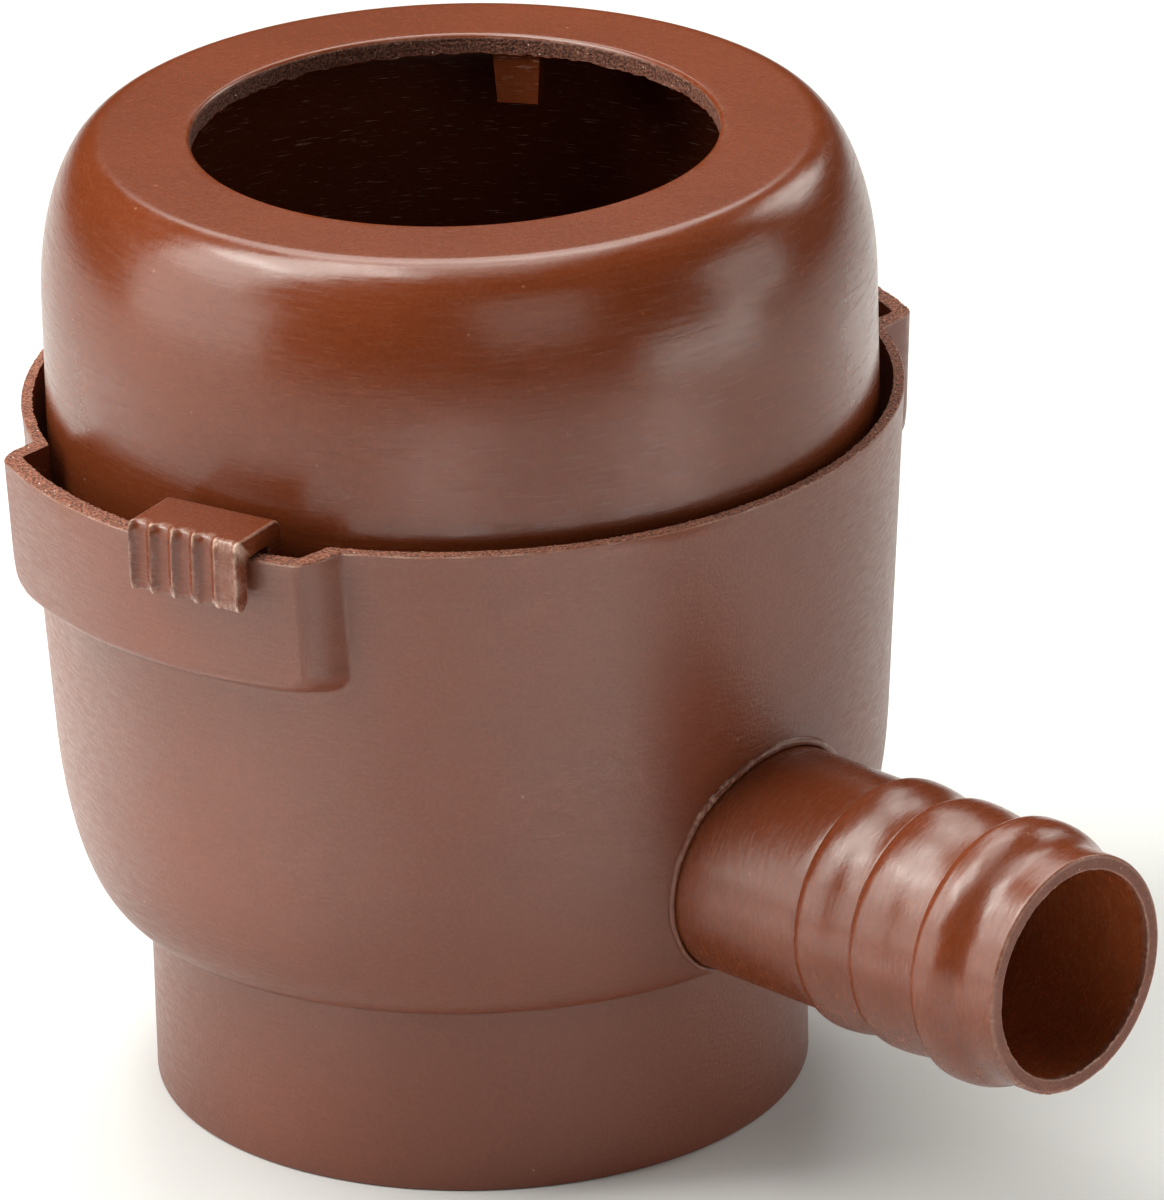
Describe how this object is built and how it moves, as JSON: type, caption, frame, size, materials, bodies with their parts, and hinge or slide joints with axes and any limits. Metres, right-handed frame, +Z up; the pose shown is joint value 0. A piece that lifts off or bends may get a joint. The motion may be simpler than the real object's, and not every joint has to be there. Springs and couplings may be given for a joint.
{
  "type": "rainwater diverter",
  "caption": "Round rainwater diverter for a downpipe: pot with a spigot and a ribbed hose tail, loose domed hood with a pipe hole, and a turning slide ring with finger grips.",
  "frame": {"origin": "centre of the spigot's foot", "axes": "+Z up the downpipe, +X along the hose tail away from the pot"},
  "size_m": [0.1344, 0.1084, 0.1075],
  "materials": {
    "brown_plastic": "satin, with fine marks from making"
  },
  "bodies": {
    "pot": {"pot": "brown_plastic", "hose_tail": "brown_plastic", "hood": "brown_plastic"},
    "slide_ring": {"slide_ring": "brown_plastic"}
  },
  "joints": [
    {"name": "ring_turn", "type": "hinge", "parent": "pot", "child": "slide_ring", "pos_m": [0, 0, 0.045], "axis": [0, 0, 1], "range_deg": [-29.3, 4.7]}
  ]
}
